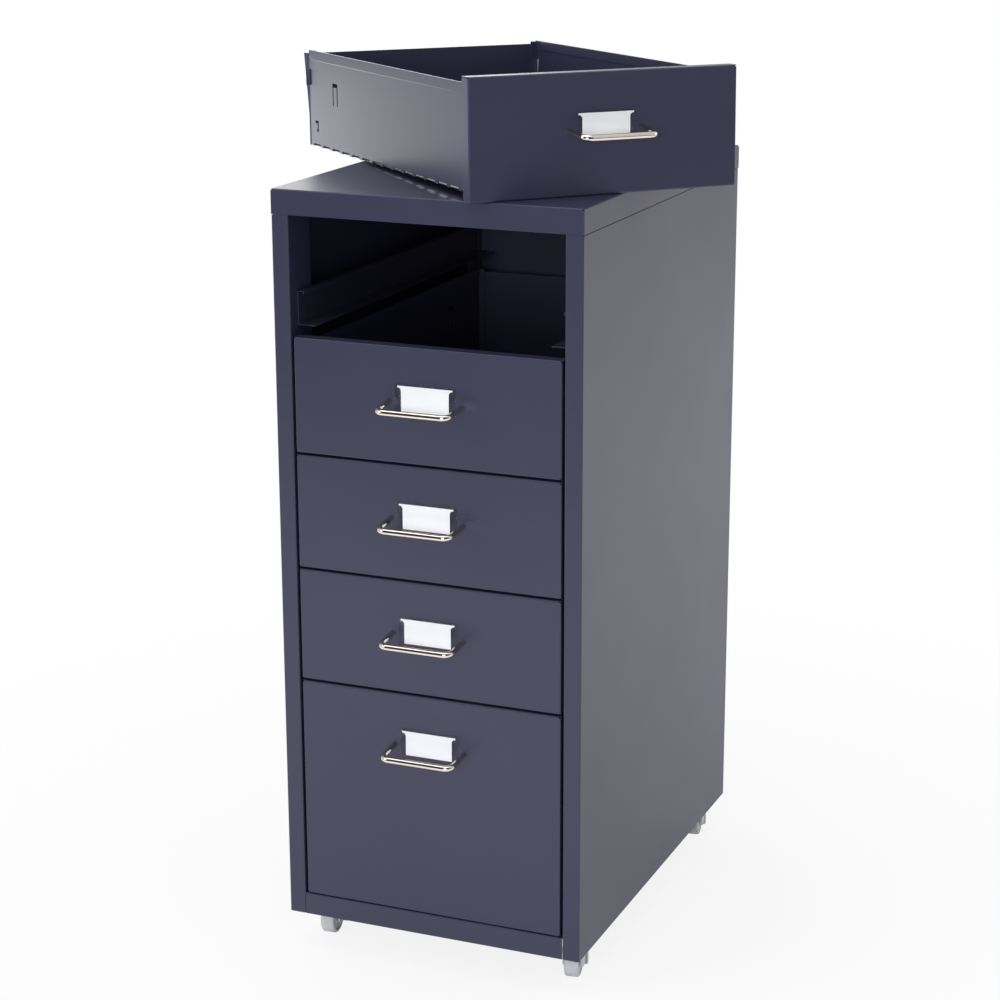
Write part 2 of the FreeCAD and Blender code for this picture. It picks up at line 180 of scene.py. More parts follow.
def blended(tree, amount, first, second):
    """Colour between two colours."""
    return shader(tree, "ShaderNodeMix", {0: amount, 6: first, 7: second},
                  data_type="RGBA").outputs[2]


def new_material(name, **plain):
    """Material with a single surface shader, whose plain sockets get these values."""
    material = bpy.data.materials.new(name)
    material.use_nodes = True
    surface = material.node_tree.nodes["Principled BSDF"]
    for label, value in plain.items():
        surface.inputs[label.replace("_", " ")].default_value = value
    return material, material.node_tree, surface


def place_effect(tree, group, sockets):
    """Places a node group in a material with its own values."""
    return shader(tree, "ShaderNodeGroup", sockets, node_tree=group)


def bump_from(tree, surface, height, distance):
    """Lets a height in the range 0 to 1 raise a surface by up to a distance."""
    bump = shader(tree, "ShaderNodeBump", {"Height": height, "Distance": distance})
    tree.links.new(bump.outputs["Normal"], surface.inputs["Normal"])


def make_coat_effect():
    """Powder coat: soft clouds of shade and gloss, fine grain and an orange peel."""
    group, given, made = effect(
        "powder_coat", {"Colour": coat_colour, "Roughness": coat_roughness},
        {"Colour": "NodeSocketColor", "Roughness": "NodeSocketFloat", "Height": "NodeSocketFloat"})
    spot = shader(group, "ShaderNodeTexCoord").outputs["Object"]
    clouds = ranged(group, noise(group, spot, scale=6.0, detail=3.0), (0.3, 0.7), (0.94, 1.06))
    grain = ranged(group, noise(group, spot, scale=1900.0), (0.3, 0.7), (0.95, 1.05))
    shade = tinted(group, tinted(group, given.outputs["Colour"], clouds), grain)
    handled = ranged(group, noise(group, spot, scale=11.0, detail=4.0), (0.3, 0.7), (-0.012, 0.018))
    roughness = maths(group, "ADD", given.outputs["Roughness"], handled)
    peel = noise(group, spot, scale=750.0, detail=1.0)
    group.links.new(shade, made.inputs["Colour"])
    group.links.new(roughness, made.inputs["Roughness"])
    group.links.new(peel, made.inputs["Height"])
    return group


def make_dust_effect():
    """Fine dust that settles in patches on what faces up."""
    group, given, made = effect(
        "settled_dust", {"Colour": coat_colour, "Dust": dust_colour, "Amount": dust_on_steel},
        {"Colour": "NodeSocketColor", "Mask": "NodeSocketFloat"})
    spot = shader(group, "ShaderNodeTexCoord").outputs["Object"]
    normal = shader(group, "ShaderNodeNewGeometry").outputs["Normal"]
    upward = shader(group, "ShaderNodeSeparateXYZ", {"Vector": normal}).outputs["Z"]
    facing = ranged(group, upward, (0.6, 1.0), (0.0, 1.0))
    patches = ranged(group, noise(group, spot, scale=14.0, detail=6.0), (0.38, 0.72), (0.25, 1.0))
    specks = ranged(group, noise(group, spot, scale=800.0, detail=1.0), (0.55, 0.72), (0.35, 1.0))
    mask = maths(group, "MULTIPLY", maths(group, "MULTIPLY", facing, patches), specks)
    mask = maths(group, "MULTIPLY", mask, given.outputs["Amount"])
    shade = blended(group, mask, given.outputs["Colour"], given.outputs["Dust"])
    group.links.new(shade, made.inputs["Colour"])
    group.links.new(mask, made.inputs["Mask"])
    return group


coat_effect = make_coat_effect()
dust_effect = make_dust_effect()


def make_coat(name, colour, roughness):
    """Powder coated steel in one colour, with a little dust on top."""
    material, tree, surface = new_material(name, Specular_IOR_Level=0.5)
    coat = place_effect(tree, coat_effect, {"Colour": colour, "Roughness": roughness})
    dust = place_effect(tree, dust_effect,
                        {"Colour": coat.outputs["Colour"], "Amount": dust_on_steel})
    dulled = maths(tree, "ADD", coat.outputs["Roughness"], dust.outputs["Mask"])
    tree.links.new(dust.outputs["Colour"], surface.inputs["Base Color"])
    tree.links.new(dulled, surface.inputs["Roughness"])
    bump_from(tree, surface, coat.outputs["Height"], coat_peel)
    return material


cabinet_coat = make_coat("cabinet_coat", coat_colour, coat_roughness)
for node in ("top_cap", "side_panel_left", "side_panel_right", "base_pan", "back_panel"):
    sheet_piece = node_copy(node, f"{node}_sheet")
    soften(sheet_piece, coat_edge)
    finish_as(sheet_piece, node, cabinet_coat)


# A pair of runner channels hangs in the columns for each drawer. They are folded from thin
# strip with a lip over the drawer's hem, coated like the cabinet with the colour painted darker
# as shade inside the columns, and rubbed bright in places where the drawers slide.
# The runners' colour is the cabinet's coat painted darker, as painted shade inside the columns.
runner_shaded_colour = (0.03, 0.031, 0.062, 1)
runner_roughness = 0.36
runner_steel = (0.33, 0.33, 0.34, 1)
slide_stretch = (900, 9, 900)

runner_coat, runner_tree, runner_surface = new_material("runner_coat")
runner_paint = place_effect(runner_tree, coat_effect,
                            {"Colour": runner_shaded_colour, "Roughness": runner_roughness})
runner_spot = shader(runner_tree, "ShaderNodeTexCoord").outputs["Object"]
slide_marks = shader(runner_tree, "ShaderNodeMapping",
                     {"Vector": runner_spot, "Scale": slide_stretch})
scuffed = ranged(runner_tree, noise(runner_tree, slide_marks.outputs["Vector"], scale=1.0, detail=3.0),
                 (0.66, 0.74), (0.0, 0.5))
runner_shade = blended(runner_tree, scuffed, runner_paint.outputs["Colour"], runner_steel)
runner_tree.links.new(runner_shade, runner_surface.inputs["Base Color"])
runner_tree.links.new(scuffed, runner_surface.inputs["Metallic"])
runner_tree.links.new(runner_paint.outputs["Roughness"], runner_surface.inputs["Roughness"])
bump_from(runner_tree, runner_surface, runner_paint.outputs["Height"], coat_peel)
for number in range(1, 6):
    for hand in ("left", "right"):
        node = f"runner_{number}_{hand}"
        channel = node_copy(node, f"{node}_channel")
        soften(channel, coat_edge)
        finish_as(channel, node, runner_coat)


# Four castor stems are welded under the floor pan, each a turned pin on a square plate. They
# are zinc plated, so they show a cool, cloudy grey with fine spangle and no brush marks.
zinc_colour = (0.46, 0.47, 0.48, 1)
zinc_relief = 0.00003
spangle_scale = 420.0
stem_edge = 0.0003

zinc, zinc_tree, zinc_surface = new_material("zinc_plate", Metallic=1.0)
zinc_spot = shader(zinc_tree, "ShaderNodeTexCoord").outputs["Object"]
spangle = shader(zinc_tree, "ShaderNodeTexVoronoi", {"Vector": zinc_spot, "Scale": spangle_scale})
spangle_shade = shader(zinc_tree, "ShaderNodeSeparateColor", {"Color": spangle.outputs["Color"]})
zinc_shade = ranged(zinc_tree, spangle_shade.outputs["Red"], (0.0, 1.0), (0.85, 1.12))
zinc_tree.links.new(tinted(zinc_tree, zinc_colour, zinc_shade), zinc_surface.inputs["Base Color"])
zinc_rough = ranged(zinc_tree, noise(zinc_tree, zinc_spot, scale=260.0), (0.3, 0.7), (0.28, 0.46))
zinc_tree.links.new(zinc_rough, zinc_surface.inputs["Roughness"])
bump_from(zinc_tree, zinc_surface, zinc_rough, zinc_relief)
stems = node_copy("castor_stems", "castor_stems_turned")
soften(stems, stem_edge)
finish_as(stems, "castor_stems", zinc)


# Each castor is a light grey nylon wheel in a hood of the same plastic, on a steel axle. The
# hood is moulded with soft edges and a flow mark or two, and the wheel has a rounded tread,
# dished sides and a raised hub.
nylon_colour = (0.68, 0.69, 0.73, 1)
nylon_relief = 0.000015
dust_on_nylon = 0.3
wheel_sides = 64
wheel_radius = 0.015
wheel_width = 0.013
wheel_bore = 0.0021
wheel_trail = 0.012
wheel_rim = 0.003
wheel_slope = 0.0012
wheel_dish = 0.0014
wheel_web = 0.005
hub_rise = 0.001
hub_face = 0.0037
tread_round = 0.0022
tread_steps = 5
wheel_edge = 0.00035
hood_edge = 0.0002
axle_edge = 0.0002
facing_share = 0.9
near = 0.0001
castor_turns = {"front_left": 6, "front_right": 10, "rear_left": 14, "rear_right": 10}
castor_x = 0.1185
castor_front_y = -0.155
castor_rear_y = 0.181

nylon, nylon_tree, nylon_surface = new_material(
    "castor_nylon", Subsurface_Weight=0.15, Subsurface_Scale=0.002)
nylon_spot = shader(nylon_tree, "ShaderNodeTexCoord").outputs["Object"]
flow = ranged(nylon_tree, noise(nylon_tree, nylon_spot, scale=90.0, detail=4.0),
              (0.3, 0.7), (0.94, 1.05))
nylon_shade = tinted(nylon_tree, nylon_colour, flow)
nylon_dust = place_effect(nylon_tree, dust_effect, {"Colour": nylon_shade, "Amount": dust_on_nylon})
nylon_tree.links.new(nylon_dust.outputs["Colour"], nylon_surface.inputs["Base Color"])
nylon_rough = ranged(nylon_tree, noise(nylon_tree, nylon_spot, scale=500.0), (0.3, 0.7), (0.38, 0.52))
nylon_tree.links.new(nylon_rough, nylon_surface.inputs["Roughness"])
bump_from(nylon_tree, nylon_surface, noise(nylon_tree, nylon_spot, scale=1600.0), nylon_relief)


def pick_faces(piece, wanted):
    """Selects the faces of an open piece whose centre and normal pass a test, and no others."""
    bpy.ops.mesh.select_all(action="DESELECT")
    mesh = bmesh.from_edit_mesh(piece.data)
    for face in mesh.faces:
        if wanted(face.calc_center_median(), face.normal):
            face.select_set(True)
    bmesh.update_edit_mesh(piece.data)


def pick_edges(piece, wanted):
    """Selects the edges of an open piece whose two ends pass a test, and no others."""
    bpy.ops.mesh.select_all(action="DESELECT")
    mesh = bmesh.from_edit_mesh(piece.data)
    for edge in mesh.edges:
        if wanted(edge.verts[0].co, edge.verts[1].co):
            edge.select_set(True)
    bmesh.update_edit_mesh(piece.data)


def placed_copy(model, name, place):
    """Copy of a model piece with its own mesh, moved by a placement that its mesh takes up."""
    mesh = model.data.copy()
    mesh.transform(place)
    piece = bpy.data.objects.new(name, mesh)
    bpy.context.scene.collection.objects.link(piece)
    return piece


def discard(model):
    """Removes a model piece once its copies are made."""
    bpy.data.objects.remove(model)


def model_wheel():
    """Wheel about the origin, on the x axis."""
    bpy.ops.object.select_all(action="DESELECT")
    bpy.ops.mesh.primitive_cylinder_add(vertices=wheel_sides, radius=wheel_radius, depth=wheel_width,
                                        rotation=(0, math.pi / 2, 0))
    wheel = bpy.context.object
    bpy.ops.object.transform_apply(location=True, rotation=True, scale=True)
    open_alone(wheel)
    pick_faces(wheel, lambda centre, normal: abs(normal.x) > facing_share)
    bpy.ops.mesh.inset(thickness=wheel_rim, use_individual=True)
    bpy.ops.mesh.extrude_region_shrink_fatten(TRANSFORM_OT_shrink_fatten={"value": -wheel_dish})
    bpy.ops.mesh.inset(thickness=wheel_slope, use_individual=True)
    bpy.ops.mesh.inset(thickness=wheel_web, use_individual=True)
    bpy.ops.mesh.extrude_region_shrink_fatten(TRANSFORM_OT_shrink_fatten={"value": hub_rise})
    bpy.ops.mesh.inset(thickness=hub_face, use_individual=True)
    bpy.ops.mesh.delete(type="ONLY_FACE")
    bpy.ops.mesh.select_mode(type="EDGE")
    pick_edges(wheel, lambda a, b: max(a.yz.length, b.yz.length) < wheel_bore + near)
    bpy.ops.mesh.bridge_edge_loops()
    pick_edges(wheel, lambda a, b: min(a.yz.length, b.yz.length) > wheel_radius - near
               and abs(a.x - b.x) < near)
    bpy.ops.mesh.bevel(offset=tread_round, segments=tread_steps)
    bpy.ops.mesh.select_all(action="SELECT")
    bpy.ops.mesh.normals_make_consistent(inside=False)
    close_mesh()
    soften(wheel, wheel_edge)
    return wheel


wheel_model = model_wheel()
for name, turn in castor_turns.items():
    x = castor_x if name.endswith("right") else -castor_x
    y = castor_front_y if name.startswith("front") else castor_rear_y
    hub = Matrix.Translation((x, y, 0)) @ Matrix.Rotation(math.radians(turn), 4, "Z")
    wheel = placed_copy(wheel_model, f"castor_{name}_tyre",
                        hub @ Matrix.Translation((0, -wheel_trail, wheel_radius)))
    finish_as(wheel, f"castor_{name}_wheel", nylon)
    hood = node_copy(f"castor_{name}_hood", f"castor_{name}_fork")
    soften(hood, hood_edge)
    finish_as(hood, f"castor_{name}_hood", nylon)
    axle = node_copy(f"castor_{name}_axle", f"castor_{name}_pin")
    soften(axle, axle_edge)
    finish_as(axle, f"castor_{name}_axle", zinc)
discard(wheel_model)


# A drawer's shell is one sheet, folded up along lines weakened by slots. A hem pressed flat
# inside its side walls shows outside as a faint crease, and at the rear corners tabs lock the
# ears, which sweep back. Each wall has a lanced tongue and a hook. The coat is the cabinet's.
slots_height = 0.6155
slot_pitch = slots_height / 6
front_gap = 0.0021
front_y = -0.205
floor_rise = 0.0065
base_top = 0.053
low_height = slot_pitch - front_gap
tall_height = 2 * slot_pitch - front_gap
shell_half = 0.117
wall_drop = 0.0061
hem_depth = 0.0085
crease_height = 0.00035
crease_rise = 0.0002
crease_width = 0.0005
shell_edge = 0.00018
shell_roughness = 0.32
shell_depth = 0.385
corner_reach = 0.003
ear_spread_share = 0.4
ear_sweep_share = 1.26
tab_drop = 0.0212
tab_raise = 0.0035
tab_spread = 0.0026
tab_shortening = 0.0045
lifted_spot = (0.1302, -0.1294, 0.6902688)
lifted_yaw = math.radians(46.9)
lifted_tilt = math.asin(floor_rise / shell_depth)

drawer_places = {1: Matrix.Translation(lifted_spot) @ Matrix.Rotation(lifted_yaw, 4, "Z")
                 @ Matrix.Rotation(-lifted_tilt, 4, "X")}
for number, slots_below in ((2, 4), (3, 3), (4, 2), (5, 0)):
    level = base_top + slot_pitch * slots_below + front_gap / 2
    drawer_places[number] = Matrix.Translation((0, front_y, level))

shell_coat = make_coat("shell_coat", coat_colour, shell_roughness)


def press_hem(shell, wall_top):
    """Pushes both side walls outwards in a crease along the lower edge of the hem."""
    crease = wall_top - hem_depth + crease_rise
    open_alone(shell)
    for level in (crease - crease_width, crease):
        bpy.ops.mesh.select_all(action="SELECT")
        bpy.ops.mesh.bisect(plane_co=(0, 0, level), plane_no=(0, 0, 1))
    bpy.ops.mesh.select_all(action="DESELECT")
    mesh = bmesh.from_edit_mesh(shell.data)
    for point in mesh.verts:
        on_wall = abs(abs(point.co.x) - shell_half) < near
        if on_wall and abs(point.co.z - crease) < near and point.co.y < shell_depth - corner_reach:
            point.co.x += math.copysign(crease_height, point.co.x)
    bmesh.update_edit_mesh(shell.data)
    close_mesh()


def bend_corners(shell, wall_top):
    """Sweeps the rear ears back from the walls and bends the tabs out through the ears' slots."""
    fold_x = shell_half + near
    open_alone(shell)
    for side in (-1, 1):
        bpy.ops.mesh.select_all(action="SELECT")
        bpy.ops.mesh.bisect(plane_co=(side * fold_x, 0, 0), plane_no=(1, 0, 0))
    close_mesh()
    for point in shell.data.vertices:
        outwards = math.copysign(1, point.co.x)
        reach = abs(point.co.x) - fold_x
        at_corner = point.co.y > shell_depth - corner_reach
        if at_corner and abs(point.co.z - wall_top + tab_drop) < near:
            point.co.z += tab_raise
        if point.co.y > shell_depth + near:
            point.co.x += outwards * tab_spread
            point.co.y -= tab_shortening
        elif at_corner and reach > 0:
            point.co.x -= outwards * reach * (1 - ear_spread_share)
            point.co.y += reach * ear_sweep_share


shell_models = {}
for model_number, height in ((2, low_height), (5, tall_height)):
    model = node_copy(f"drawer_{model_number}_shell", f"shell_model_{model_number}",
                      drawer_places[model_number].inverted())
    press_hem(model, height - wall_drop)
    bend_corners(model, height - wall_drop)
    soften(model, shell_edge)
    shell_models[model_number] = model
for number, place in drawer_places.items():
    shell = placed_copy(shell_models[5 if number == 5 else 2], f"drawer_{number}_tray", place)
    finish_as(shell, f"drawer_{number}_shell", shell_coat)
for model in shell_models.values():
    discard(model)


# Each drawer front is a shallow tray on edge, welded at its corners and ground flush, in the
# cabinet's colour. Its folds catch the light as thin bright lines.
front_roughness = 0.33

front_coat = make_coat("front_coat", coat_colour, front_roughness)
for number in drawer_places:
    panel = node_copy(f"drawer_{number}_front", f"drawer_{number}_panel")
    soften(panel, coat_edge)
    finish_as(panel, f"drawer_{number}_front", front_coat)


# The handles are bent from round steel wire and chrome plated. Two screws from inside the
# drawer hold each one, with pan heads and a cross recess, zinc plated like the stems.
wire_radius = 0.0026
handle_half = 0.033
handle_reach = 0.029
handle_bend = 0.007
bend_steps = 10
handle_drop = 0.047
handle_sag = 0.003
panel_sheet = 0.0008
screw_radius = 0.0036
screw_height = 0.0022
screw_rim = 0.0007
screw_crown = 0.0004
screw_edge = 0.0002
recess_width = 0.0007
recess_length = 0.0036
recess_depth = 0.001
# The chrome's base colour is a warm tan: a painted reflection of warm surroundings on plain chrome.
chrome_warm_reflection_tint = (0.78, 0.72, 0.65, 1)
chrome_relief = 0.00001
handle_edge = 0.0003
round_sides = 24

chrome, chrome_tree, chrome_surface = new_material("handle_chrome", Metallic=1.0)
chrome_spot = shader(chrome_tree, "ShaderNodeTexCoord").outputs["Object"]
chrome_haze = ranged(chrome_tree, noise(chrome_tree, chrome_spot, scale=120.0, detail=4.0),
                     (0.3, 0.7), (0.93, 1.02))
chrome_tree.links.new(tinted(chrome_tree, chrome_warm_reflection_tint, chrome_haze),
                      chrome_surface.inputs["Base Color"])
chrome_rough = ranged(chrome_tree, noise(chrome_tree, chrome_spot, scale=380.0, detail=3.0),
                      (0.35, 0.75), (0.05, 0.13))
chrome_tree.links.new(chrome_rough, chrome_surface.inputs["Roughness"])
bump_from(chrome_tree, chrome_surface, noise(chrome_tree, chrome_spot, scale=240.0), chrome_relief)


def model_handle():
    """Handle with its two ends on the front's face at height 0, and its bar a little lower."""
    bpy.ops.object.select_all(action="DESELECT")
    bpy.ops.mesh.primitive_circle_add(vertices=round_sides, radius=wire_radius, fill_type="NGON",
                                      location=(-handle_half, 0, 0), rotation=(math.pi / 2, 0, 0))
    handle = bpy.context.object
    bpy.ops.object.transform_apply(location=True, rotation=True, scale=True)
    open_alone(handle)
    bpy.ops.mesh.select_all(action="SELECT")
    straight = handle_reach - handle_bend
    bpy.ops.mesh.extrude_region_move(TRANSFORM_OT_translate={"value": (0, -straight, 0)})
    bpy.ops.mesh.spin(steps=bend_steps, angle=-math.pi / 2, axis=(0, 0, 1),
                      center=(handle_bend - handle_half, -straight, 0))
    run = 2 * (handle_half - handle_bend)
    bpy.ops.mesh.extrude_region_move(TRANSFORM_OT_translate={"value": (run, 0, 0)})
    bpy.ops.mesh.spin(steps=bend_steps, angle=-math.pi / 2, axis=(0, 0, 1),
                      center=(handle_half - handle_bend, -straight, 0))
    bpy.ops.mesh.extrude_region_move(TRANSFORM_OT_translate={"value": (0, straight, 0)})
    bpy.ops.mesh.select_all(action="SELECT")
    bpy.ops.mesh.remove_doubles(threshold=merge_distance)
    bpy.ops.mesh.normals_make_consistent(inside=False)
    close_mesh()
    soften(handle, handle_edge, sharper_than=60)
    for point in handle.data.vertices:
        point.co.z += handle_sag * point.co.y / handle_reach
    return handle


def block_at(low, high):
    """Block between two corners, with its place in its mesh."""
    bpy.ops.object.select_all(action="DESELECT")
    low, high = Vector(low), Vector(high)
    bpy.ops.mesh.primitive_cube_add(size=1, location=(low + high) / 2)
    piece = bpy.context.object
    piece.scale = high - low
    bpy.ops.object.transform_apply(location=True, rotation=True, scale=True)
    return piece


def cut_away(piece, cutter):
    """Cuts a block out of a piece and removes the block."""
    cut = piece.modifiers.new("cut", "BOOLEAN")
    cut.object = cutter
    cut.operation = "DIFFERENCE"
    bpy.ops.object.select_all(action="DESELECT")
    piece.select_set(True)
    bpy.context.view_layer.objects.active = piece
    bpy.ops.object.modifier_apply(modifier="cut")
    discard(cutter)


def model_screw():
    """Screw head on the inner face of a front, with its cross recess to the rear."""
    bpy.ops.object.select_all(action="DESELECT")
    middle = panel_sheet + screw_height / 2
    bpy.ops.mesh.primitive_cylinder_add(vertices=round_sides, radius=screw_radius, depth=screw_height,
                                        location=(0, middle, 0), rotation=(-math.pi / 2, 0, 0))
    screw = bpy.context.object
    bpy.ops.object.transform_apply(location=True, rotation=True, scale=True)
    open_alone(screw)
    pick_faces(screw, lambda centre, normal: normal.y > facing_share)
    bpy.ops.mesh.inset(thickness=screw_rim)
    bpy.ops.transform.translate(value=(0, screw_crown, 0))
    close_mesh()
    top = panel_sheet + screw_height + screw_crown
    for width, length in ((recess_width, recess_length), (recess_length, recess_width)):
        cutter = block_at((-width / 2, top - recess_depth, -length / 2),
                          (width / 2, top + recess_depth, length / 2))
        cut_away(screw, cutter)
    soften(screw, screw_edge)
    return screw


handle_model = model_handle()
screw_model = model_screw()
for number, place in drawer_places.items():
    height = tall_height if number == 5 else low_height
    level = height - handle_drop
    handle = placed_copy(handle_model, f"drawer_{number}_wire",
                         place @ Matrix.Translation((0, 0, level)))
    finish_as(handle, f"drawer_{number}_handle", chrome)
    for hand, side in (("left", -1), ("right", 1)):
        spot = place @ Matrix.Translation((side * handle_half, 0, level))
        screw = placed_copy(screw_model, f"drawer_{number}_screw_{hand}", spot)
        screw.data.materials.clear()
        screw.data.materials.append(zinc)
        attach(screw, f"drawer_{number}")
discard(handle_model)
discard(screw_model)


# A clear plastic holder sits on each front behind the handle, injection moulded with rounded
# corners and a pocket that is open at the top. Its edges pick up light and faint scuffs.
holder_width = 0.0555
holder_height = 0.0265
holder_thickness = 0.0024
holder_drop = 0.0315
holder_corner = 0.002
corner_steps = 6
holder_edge = 0.00025
pocket_gap = 0.0006
pocket_foot = 0.003
card_width = 0.0436
card_height = 0.022
card_thickness = 0.0003
card_ear = 0.0034
card_ear_height = 0.0015
card_fillet = 0.0022
card_clearance = 0.0003
overrun = 0.001
clear_colour = (0.97, 0.98, 1.0, 1)

clear, clear_tree, clear_surface = new_material(
    "clear_plastic", Transmission_Weight=1.0, IOR=1.49, Alpha=0.2)
clear_spot = shader(clear_tree, "ShaderNodeTexCoord").outputs["Object"]
clear_haze = ranged(clear_tree, noise(clear_tree, clear_spot, scale=160.0, detail=4.0),
                    (0.35, 0.7), (0.93, 0.99))
clear_tree.links.new(tinted(clear_tree, clear_colour, clear_haze),
                     clear_surface.inputs["Base Color"])
clear_rough = ranged(clear_tree, noise(clear_tree, clear_spot, scale=700.0, detail=3.0),
                     (0.5, 0.75), (0.03, 0.12))
clear_tree.links.new(clear_rough, clear_surface.inputs["Roughness"])


def model_holder():
    """Label holder with the foot of its body at height 0."""
    half = holder_width / 2
    holder = block_at((-half, -holder_thickness, 0), (half, 0, holder_height))
    open_alone(holder)
    bpy.ops.mesh.select_mode(type="EDGE")
    pick_edges(holder, lambda a, b: abs(a.y - b.y) > holder_thickness / 2)
    bpy.ops.mesh.bevel(offset=holder_corner, segments=corner_steps)
    close_mesh()
    middle = -holder_thickness / 2
    pocket_half = card_width / 2 + card_clearance
    ear_half = pocket_half + card_ear
    ear_foot = pocket_foot + card_height - card_ear_height - card_fillet - card_clearance
    for reach, foot in ((pocket_half, pocket_foot), (ear_half, ear_foot)):
        cutter = block_at((-reach, middle - pocket_gap / 2, foot),
                          (reach, middle + pocket_gap / 2, holder_height + overrun))
        cut_away(holder, cutter)
    soften(holder, holder_edge)
    return holder


holder_model = model_holder()
for number, place in drawer_places.items():
    height = tall_height if number == 5 else low_height
    foot = height - holder_drop - holder_height
    holder = placed_copy(holder_model, f"drawer_{number}_clear_holder",
                         place @ Matrix.Translation((0, 0, foot)))
    finish_as(holder, f"drawer_{number}_label_holder", clear)
discard(holder_model)


# The label cards are cut from smooth white card, blank, with an ear on each side at the top
# that hangs in the holder. The ears run into the sides in a small round.
card_colour = (0.93, 0.94, 0.97, 1)
card_relief = 0.00002
card_edge = 0.00005
fibre_stretch = (1, 1, 3)

card, card_tree, card_surface = new_material("label_card", Roughness=0.6)
card_spot = shader(card_tree, "ShaderNodeTexCoord").outputs["Object"]
fibres = shader(card_tree, "ShaderNodeMapping", {"Vector": card_spot, "Scale": fibre_stretch})
card_fibre = noise(card_tree, fibres.outputs["Vector"], scale=1500.0, detail=5.0)
card_shade = ranged(card_tree, card_fibre, (0.3, 0.7), (0.96, 1.02))
card_tree.links.new(tinted(card_tree, card_colour, card_shade),
                    card_surface.inputs["Base Color"])
bump_from(card_tree, card_surface, card_fibre, card_relief)


def model_card():
    """Label card with its foot at height 0."""
    half = card_width / 2
    middle = -holder_thickness / 2
    blank = block_at((-half, middle - card_thickness / 2, 0),
                     (half, middle + card_thickness / 2, card_height))
    open_alone(blank)
    bpy.ops.mesh.select_all(action="SELECT")
    ear_foot = card_height - card_ear_height
    bpy.ops.mesh.bisect(plane_co=(0, 0, ear_foot), plane_no=(0, 0, 1))
    pick_faces(blank, lambda centre, normal: abs(normal.x) > facing_share and centre.z > ear_foot)
    bpy.ops.mesh.extrude_region_shrink_fatten(TRANSFORM_OT_shrink_fatten={"value": card_ear})
    bpy.ops.mesh.select_mode(type="EDGE")
    pick_edges(blank, lambda a, b: abs(a.z - ear_foot) + abs(b.z - ear_foot) < near
               and abs(abs(a.x) - half) + abs(abs(b.x) - half) < near)
    bpy.ops.mesh.bevel(offset=card_fillet, segments=corner_steps)
    close_mesh()
    soften(blank, card_edge)
    return blank


card_model = model_card()
for number, place in drawer_places.items():
    height = tall_height if number == 5 else low_height
    foot = height - holder_drop - holder_height + pocket_foot
    label = placed_copy(card_model, f"drawer_{number}_blank_label",
                        place @ Matrix.Translation((0, 0, foot)))
    finish_as(label, f"drawer_{number}_label_card", card)
discard(card_model)


# The studio is a wide pale floor that turns white away from the object, and is dimmer in front
# and at the sides where paint mirrors it, a white surround, and large soft lamps. A fade is a
# span of places or distances and the values at its two ends.
floor_size = 60
floor_colour = (0.86, 0.86, 0.87, 1)
floor_seen_fade = ((0.25, 1.0), (0.86, 1.0))
floor_mirrored_fade = ((0.35, 1.6), (0.35, 1.0))
mirrored_dimming = (("Y", (-2.3, -1.5), (0.0, 1.45)), ("Y", (-0.6, 0.2), (1.0, 0.76)),
                    ("X", (1.4, 2.6), (1.0, 0.27)), ("X", (-2.4, -1.2), (0.75, 1.0)))
surround_front_fade = ((-0.6, -0.15), (0.05, 0.72))
surround_light = 0.5
white = (1, 1, 1, 1)


def make_floor():
    """Pale floor that keeps the shadow near the object and turns white further away."""
    bpy.ops.object.select_all(action="DESELECT")
    bpy.ops.mesh.primitive_plane_add(size=floor_size, location=(0, 0, 0))
    floor = bpy.context.object
    floor.name = "studio_floor"
    material = bpy.data.materials.new("studio_floor")
    material.use_nodes = True
    tree = material.node_tree
    tree.nodes.clear()
    spot = shader(tree, "ShaderNodeTexCoord").outputs["Object"]
    away = shader(tree, "ShaderNodeVectorMath", {0: spot}, operation="LENGTH").outputs["Value"]
    path = shader(tree, "ShaderNodeLightPath")
    mirrored = path.outputs["Is Glossy Ray"]
    seen = maths(tree, "ADD", path.outputs["Is Camera Ray"], path.outputs["Is Transmission Ray"])
    seen = maths(tree, "MULTIPLY", seen, ranged(tree, away, *floor_seen_fade))
    shown = maths(tree, "MULTIPLY", mirrored, ranged(tree, away, *floor_mirrored_fade))
    amount = maths(tree, "ADD", seen, shown)
    parts = shader(tree, "ShaderNodeSeparateXYZ", {"Vector": spot})
    dim = 1.0
    for axis, span, to in mirrored_dimming:
        dim = maths(tree, "MULTIPLY", dim, ranged(tree, parts.outputs[axis], span, to))
    level = maths(tree, "SUBTRACT", 1.0, mirrored)
    level = maths(tree, "ADD", level, maths(tree, "MULTIPLY", mirrored, dim))
    matte = shader(tree, "ShaderNodeBsdfDiffuse", {"Color": floor_colour})
    glow = shader(tree, "ShaderNodeEmission", {"Color": white, "Strength": level})
    mixed = shader(tree, "ShaderNodeMixShader", {0: amount, 1: matte.outputs[0], 2: glow.outputs[0]})
    end = tree.nodes.new("ShaderNodeOutputMaterial")
    tree.links.new(mixed.outputs[0], end.inputs["Surface"])
    floor.data.materials.append(material)


def make_surround():
    """White all round for what is seen, darker in front, and dimmer as a light."""
    world = bpy.data.worlds.new("studio")
    bpy.context.scene.world = world
    world.use_nodes = True
    tree = world.node_tree
    tree.nodes.clear()
    way = shader(tree, "ShaderNodeTexCoord").outputs["Generated"]
    parts = shader(tree, "ShaderNodeSeparateXYZ", {"Vector": way})
    front = ranged(tree, parts.outputs["Y"], *surround_front_fade)
    path = shader(tree, "ShaderNodeLightPath")
    direct = maths(tree, "ADD", path.outputs["Is Camera Ray"], path.outputs["Is Transmission Ray"])
    mirrored = maths(tree, "MULTIPLY", path.outputs["Is Glossy Ray"], front)
    seen = maths(tree, "ADD", direct, mirrored)
    lit = maths(tree, "MULTIPLY", path.outputs["Is Diffuse Ray"], surround_light)
    strength = maths(tree, "ADD", seen, lit)
    ground = shader(tree, "ShaderNodeBackground", {"Color": white, "Strength": strength})
    end = tree.nodes.new("ShaderNodeOutputWorld")
    tree.links.new(ground.outputs[0], end.inputs["Surface"])


